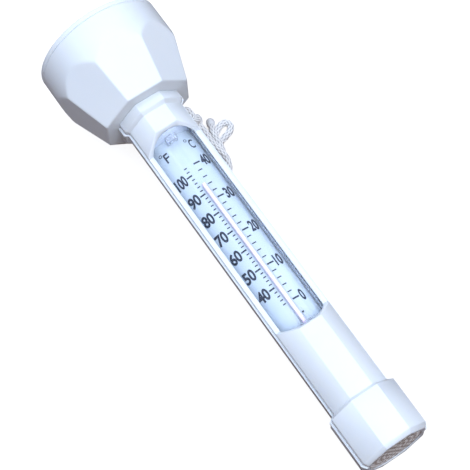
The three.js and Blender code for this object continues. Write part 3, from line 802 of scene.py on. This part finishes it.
def make_lid():
    """The lid's disc, with its plug inside the tub's mouth and the small scar of the moulding gate."""
    inner = HEAD_RADIUS - HEAD_WALL - LID_GAP
    profile = [
        (0, LID_BOTTOM),
        (inner - LID_PLUG_WALL, LID_BOTTOM),
        (inner - LID_PLUG_WALL, LID_BOTTOM - LID_PLUG_DEPTH),
        (inner, LID_BOTTOM - LID_PLUG_DEPTH),
        (inner, LID_BOTTOM - LID_SEAL_BOTTOM),
        (inner - LID_SEAL_DEPTH, LID_BOTTOM - LID_SEAL_BOTTOM),
        (inner - LID_SEAL_DEPTH, LID_BOTTOM - LID_SEAL_TOP),
        (inner, LID_BOTTOM - LID_SEAL_TOP),
        (inner, LID_BOTTOM),
        (HEAD_RADIUS, LID_BOTTOM),
        (HEAD_RADIUS, LENGTH),
        (GATE_RADIUS, LENGTH),
        (GATE_RADIUS - 0.4, LENGTH - GATE_DEPTH),
        (GATE_RADIUS - 1.4, LENGTH - GATE_DEPTH),
        (GATE_RADIUS - 1.6, LENGTH - 0.1),
        (0, LENGTH - 0.1),
    ]
    turned_piece("head_lid", "float_lid", profile, ABS, sides=256, edge=0.7)


# ---- the casing and the foot ---------------------------------------------------------------------

GRILLE_RADIUS = 14.3
GRILLE_BOTTOM = 0.7
GRILLE_TOP = 2.2
GRILLE_HOLE = 1.05
GRILLE_RINGS = [(0.0, 1), (3.1, 6), (6.1, 12), (9.1, 18), (12.1, 24)]
GRILLE_EDGE = 0.2
GRILLE_SIDES = 96
HOLE_SIDES = 24


def make_casing():
    refined_copy("casing_front", "front_shell", ABS, edge=0.35)
    refined_copy("casing_back", "back_shell", ABS, edge=0.28)


def grille_outline():
    """The disc's edge and its holes, as loops of flat points."""
    loops = [circle(GRILLE_RADIUS, 0, GRILLE_SIDES)]
    for radius, holes in GRILLE_RINGS:
        for i in range(holes):
            turn = TAU * i / holes
            centre = (radius * math.cos(turn), radius * math.sin(turn), 0)
            loops.append(circle(GRILLE_HOLE, 0, HOLE_SIDES) + centre)
    return loops


def make_grille():
    """The foot's grille: a disc with rings of round holes, its edges rounded."""
    work = bmesh.new()
    for loop in grille_outline():
        verts = [work.verts.new(p * MM) for p in loop]
        for a, b in zip(verts, verts[1:] + verts[:1]):
            work.edges.new((a, b))
    bmesh.ops.triangle_fill(work, use_beauty=True, use_dissolve=False, edges=work.edges)
    plate = bmesh.ops.extrude_face_region(work, geom=work.faces[:])
    lifted = [v for v in plate["geom"] if isinstance(v, bmesh.types.BMVert)]
    bmesh.ops.translate(work, vec=(0, 0, (GRILLE_TOP - GRILLE_BOTTOM) * MM), verts=lifted)
    rims = [e for e in work.edges if len(e.link_faces) == 2 and e.calc_face_angle() > 1.0]
    bmesh.ops.bevel(work, geom=rims, offset=GRILLE_EDGE * MM, segments=2, profile=0.5, affect="EDGES")
    bmesh.ops.translate(work, vec=(0, 0, GRILLE_BOTTOM * MM), verts=work.verts)
    mesh = bpy.data.meshes.new("grille")
    work.to_mesh(mesh)
    work.free()
    mesh.transform(LYING)
    piece = finish_piece("grille_disc", mesh, GRILLE)
    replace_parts(piece, "foot_grille")


# ---- behind the window ---------------------------------------------------------------------------

CLEAR_OUTER = 11.98
CLEAR_INNER = 11.0
CLEAR_BOTTOM = 49.0
CLEAR_TOP = 184.6
CARD_RADIUS = 16.6  # of the curve of its front face
CARD_FRONT_Y = -3.2  # at its middle
PRINT_LIFT = 0.05
PRINT_THICKNESS = 0.05
STRIPS_TO = 11.0  # the print is cut into strips from here to here, each side of the middle
STRIP_WIDTH = 0.6
STEM_RADIUS = 1.6
STEM_Y = -4.95
STEM_BOTTOM = 45.0
STEM_TOP = 174.0
COLUMN_RADIUS = 0.84
COLUMN_SIDES = 24
COLUMN_RINGS = 160  # along the column
COLUMN_GAP = 0.02  # between the column and its top
SCALE_ZERO = 80.7  # along the axis, at 0 degrees Celsius
SCALE_PER_DEGREE = 1.99  # along the axis, for each degree Celsius
READING = 34.3  # degrees Celsius
COLUMN_BOTTOM = 41.15
MENISCUS_LENGTH = 2.0


def z_of_c(celsius):
    return SCALE_ZERO + SCALE_PER_DEGREE * celsius


def z_of_f(fahrenheit):
    return z_of_c((fahrenheit - 32) / 1.8)


def card_y(x):
    """How far back the card's front face is at x."""
    return CARD_RADIUS + CARD_FRONT_Y - np.sqrt(CARD_RADIUS**2 - np.asarray(x) ** 2)


def make_clear_tube():
    profile = [
        (CLEAR_INNER, CLEAR_BOTTOM),
        (CLEAR_OUTER, CLEAR_BOTTOM),
        (CLEAR_OUTER, CLEAR_TOP),
        (CLEAR_INNER, CLEAR_TOP),
    ]
    tube = turned_piece("window_tube", "clear_tube", profile, CLEAR, sides=128)
    tube.visible_shadow = False


def make_stem():
    """The glass stem, drawn solid: the column inside it is a piece of its own."""
    profile = [(0, STEM_BOTTOM), (STEM_RADIUS, STEM_BOTTOM), (STEM_RADIUS, STEM_TOP), (0, STEM_TOP)]
    stem = turned_piece(
        "stem_rod", "glass_stem", profile, GLASS, sides=48, centre_y=STEM_Y
    )
    stem.visible_shadow = False


def make_column():
    """The spirit column between the bulb and its top, and the top on a body of its own."""
    top = z_of_c(READING)
    joint = top - MENISCUS_LENGTH
    heights = np.linspace(COLUMN_BOTTOM, joint - COLUMN_GAP, COLUMN_RINGS)
    rings = [circle(COLUMN_RADIUS, z, COLUMN_SIDES, STEM_Y) for z in heights]
    points, faces = closed_rings(rings)
    column = make_piece("spirit_thread", points, faces, SPIRIT, body=None)
    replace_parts(column, "spirit_column")
    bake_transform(column)
    profile = [(0, joint), (COLUMN_RADIUS, joint), (COLUMN_RADIUS, top), (0.5, top - 0.3), (0, top - 0.4)]
    turned_piece(
        "spirit_top",
        "spirit_meniscus",
        profile,
        SPIRIT,
        sides=COLUMN_SIDES,
        edge=0.1,
        centre_y=STEM_Y,
        body="spirit_level",
    )


def make_inner_pieces():
    """What the casing hides, or almost hides."""
    refined_copy("card_sheet", "scale_card", CARD, edge=0.12)
    refined_copy("stem_tip", "glass_stem_tip", GLASS, edge=0.15).visible_shadow = False
    refined_copy("bulb_shell", "glass_bulb", GLASS, edge=0.1)
    refined_copy("bulb_filling", "bulb_spirit", SPIRIT, edge=0.1)
    refined_copy("plug_upper", "upper_tube_plug", PLUG, edge=0.25)
    refined_copy("plug_lower", "lower_tube_plug", PLUG, edge=0.25)
    refined_copy("clip_lower", "lower_stem_clip", CLIP, edge=0.2)
    refined_copy("clip_upper", "upper_stem_clip", CLIP, edge=0.2)
    refined_copy("ring_lid", "float_lid_seal", SEAL, edge=0.3)
    refined_copy("ring_upper", "upper_plug_seal", SEAL, edge=0.25)
    refined_copy("ring_lower", "lower_plug_seal", SEAL, edge=0.25)
    refined_copy("ballast_sleeve", "ballast_ring", STEEL, edge=0.3)


# ---- the print on the card -----------------------------------------------------------------------

# Marks and numbers go from left to right in x, with the stem in the middle.
F_MAJOR = (-4.5, -1.65)
F_MINOR = (-3.1, -1.65)
C_MAJOR = (1.8, 5.4)
C_MINOR = (1.8, 4.2)
MAJOR_HEIGHT = 0.8
MINOR_HEIGHT = 0.56
F_NUMBERS = range(40, 101, 10)
F_MARKS = range(32, 105, 2)
C_NUMBERS = range(0, 41, 10)
C_MARKS = range(0, 41, 2)
DIGIT_HEIGHT = 6.0
DIGIT_WEIGHT = 0.035  # how much the type is thickened, as a share of its size
NARROW_ONE = 0.55  # how much narrower a 1 is than another digit
F_LEFT = -10.2
F_RIGHT = -4.95
C_LEFT = 6.0
DIGIT_WIDTH = 2.1
HEADERS = [("F", -8.9, -7.2, 2.3), ("C", 4.6, 6.2, 2.4)]  # letter, its ring's left, its left and width
HEADER_Z = 167.6
HEADER_HEIGHT = 4.9
HEADER_WEIGHT = 0.015
RING_WIDTH = 1.5
RING_HEIGHT = 1.6
RING_BOTTOM = HEADER_Z + HEADER_HEIGHT - 0.6


def bar(work, left, right, z, height):
    """A printed mark as one flat face, centred on z."""
    low = z - height / 2
    high = z + height / 2
    corners = [(left, low), (right, low), (right, high), (left, high)]
    work.faces.new([work.verts.new((x, 0, up)) for x, up in corners])


def add_marks(work):
    """A long heavy mark at every ten degrees and a short light one at every two, on both scales."""
    scales = [(F_MARKS, z_of_f, F_MAJOR, F_MINOR), (C_MARKS, z_of_c, C_MAJOR, C_MINOR)]
    for marks, z_of, major, minor in scales:
        for degrees in marks:
            if degrees % 10 == 0:
                bar(work, *major, z_of(degrees), MAJOR_HEIGHT)
            else:
                bar(work, *minor, z_of(degrees), MINOR_HEIGHT)


def add_text(work, text, left, bottom, width, height, weight=DIGIT_WEIGHT):
    """Text as flat faces, fitted to a box in x and z."""
    curve = bpy.data.curves.new("glyphs", "FONT")
    curve.body = text
    curve.offset = weight
    curve.resolution_u = 6
    holder = bpy.data.objects.new("glyphs", curve)
    bpy.context.scene.collection.objects.link(holder)
    mesh = evaluated_mesh(holder)
    flat = np.array([v.co[:2] for v in mesh.vertices])
    low, high = flat.min(0), flat.max(0)
    scale = np.array([width, height]) / (high - low)
    verts = []
    for x, y in (flat - low) * scale:
        verts.append(work.verts.new((left + x, 0, bottom + y)))
    for polygon in mesh.polygons:
        work.faces.new([verts[i] for i in polygon.vertices])
    bpy.data.objects.remove(holder)
    bpy.data.curves.remove(curve)
    bpy.data.meshes.remove(mesh)


def add_numbers(work):
    """The numbers beside the marks, and above each scale its unit sign, a small ring and a letter."""
    half = DIGIT_HEIGHT / 2
    for degrees in F_NUMBERS:
        add_text(work, str(degrees), F_LEFT, z_of_f(degrees) - half, F_RIGHT - F_LEFT, DIGIT_HEIGHT)
    for degrees in C_NUMBERS:
        text = str(degrees)
        width = DIGIT_WIDTH * len(text)
        if text.startswith("1"):
            width -= NARROW_ONE
        add_text(work, text, C_LEFT, z_of_c(degrees) - half, width, DIGIT_HEIGHT)
    for letter, ring_left, left, width in HEADERS:
        add_text(work, "o", ring_left, RING_BOTTOM, RING_WIDTH, RING_HEIGHT, weight=0.0)
        add_text(work, letter, left, HEADER_Z, width, HEADER_HEIGHT, weight=HEADER_WEIGHT)


def make_print():
    """All the ink as one thin piece, cut into narrow strips so that it follows the card's curve."""
    work = bmesh.new()
    add_marks(work)
    add_numbers(work)
    for x in np.arange(-STRIPS_TO, STRIPS_TO + 0.1, STRIP_WIDTH):
        everything = work.verts[:] + work.edges[:] + work.faces[:]
        bmesh.ops.bisect_plane(work, geom=everything, plane_co=(x, 0, 0), plane_no=(1, 0, 0))
    for vert in work.verts:
        vert.co.y = card_y(vert.co.x) - PRINT_LIFT
    raised = bmesh.ops.extrude_face_region(work, geom=work.faces[:])
    lifted = [v for v in raised["geom"] if isinstance(v, bmesh.types.BMVert)]
    bmesh.ops.translate(work, vec=(0, -PRINT_THICKNESS, 0), verts=lifted)
    mesh = bpy.data.meshes.new("print")
    work.to_mesh(mesh)
    work.free()
    mesh.transform(Matrix.Scale(MM, 4))
    mesh.transform(LYING)
    finish_piece("scale_print", mesh, INK)


add_camera()
make_tether()
make_bowl()
make_lid()
make_casing()
make_grille()
make_clear_tube()
make_stem()
make_column()
make_inner_pieces()
make_print()

# ---- floor and light -----------------------------------------------------------------------------

# Metres in this section.
FLOOR_SIZE = 6.0
FLOOR_GLOW = 0.86  # the paper's own brightness, so that shadows on it stay faint
SKY = (0.71, 0.82, 1.0)
SKY_STRENGTH = 1.84
SKY_EDGE = (0.24, 0.24, 0.29)
ROOM_HIGH = (0.13, 0.062, 0.024)
ROOM_LOW = (0.035, 0.016, 0.007)
SKY_STOPS = [(0.40, ROOM_LOW), (0.63, ROOM_HIGH), (0.74, SKY_EDGE), (0.84, SKY)]  # 0.5 is the horizon
KEY_ENERGY = 3.8
KEY_COLOUR = (1.0, 0.99, 0.97)
KEY_DIRECTION = (0.12, -0.42, 0.90)
KEY_DISTANCE = 1.3
KEY_SIZE = 0.7


def make_floor():
    """A sheet of bright paper. The object doesn't see it, so it gets no bounce from below."""
    half = FLOOR_SIZE / 2
    corners = [(-half, -half, 0), (half, -half, 0), (half, half, 0), (-half, half, 0)]
    mesh = bpy.data.meshes.new("floor")
    mesh.from_pydata(corners, [], [(0, 1, 2, 3)])
    look, tree, shader = new_material("floor_paper")
    fibres = noise(tree, 500, detail=4)
    tree.links.new(ramp(tree, fibres, [(0.3, 0.27), (0.7, 0.29)]), shader.inputs["Base Color"])
    shader.inputs["Roughness"].default_value = 0.9
    shader.inputs["Emission Color"].default_value = (1, 1, 1, 1)
    shader.inputs["Emission Strength"].default_value = FLOOR_GLOW
    mesh.materials.append(look)
    floor = bpy.data.objects.new("floor", mesh)
    bpy.context.scene.collection.objects.link(floor)
    floor.visible_diffuse = False
    floor.visible_glossy = False
    floor.visible_transmission = False


def make_sky():
    """A broad soft dome overhead, and a dim brown room below it and below the horizon."""
    world = bpy.data.worlds.new("studio")
    bpy.context.scene.world = world
    world.use_nodes = True
    tree = world.node_tree
    background = tree.nodes["Background"]
    where = add_node(tree, "ShaderNodeTexCoord")
    split = add_node(tree, "ShaderNodeSeparateXYZ")
    height = add_node(tree, "ShaderNodeMapRange")
    height.inputs["From Min"].default_value = -1
    tree.links.new(where.outputs["Generated"], split.inputs["Vector"])
    tree.links.new(split.outputs["Z"], height.inputs["Value"])
    tree.links.new(ramp(tree, height.outputs["Result"], SKY_STOPS), background.inputs["Color"])
    background.inputs["Strength"].default_value = SKY_STRENGTH


def make_key():
    """The main light, a large soft panel near the camera."""
    data = bpy.data.lights.new("key", "AREA")
    data.shape = "DISK"
    data.size = KEY_SIZE
    data.energy = KEY_ENERGY
    data.color = KEY_COLOUR
    light = bpy.data.objects.new("key", data)
    bpy.context.scene.collection.objects.link(light)
    direction = Vector(KEY_DIRECTION).normalized()
    light.location = direction * KEY_DISTANCE
    light.rotation_euler = direction.to_track_quat("Z", "Y").to_euler()


make_floor()
make_sky()
make_key()
bpy.context.scene.view_settings.view_transform = "Standard"
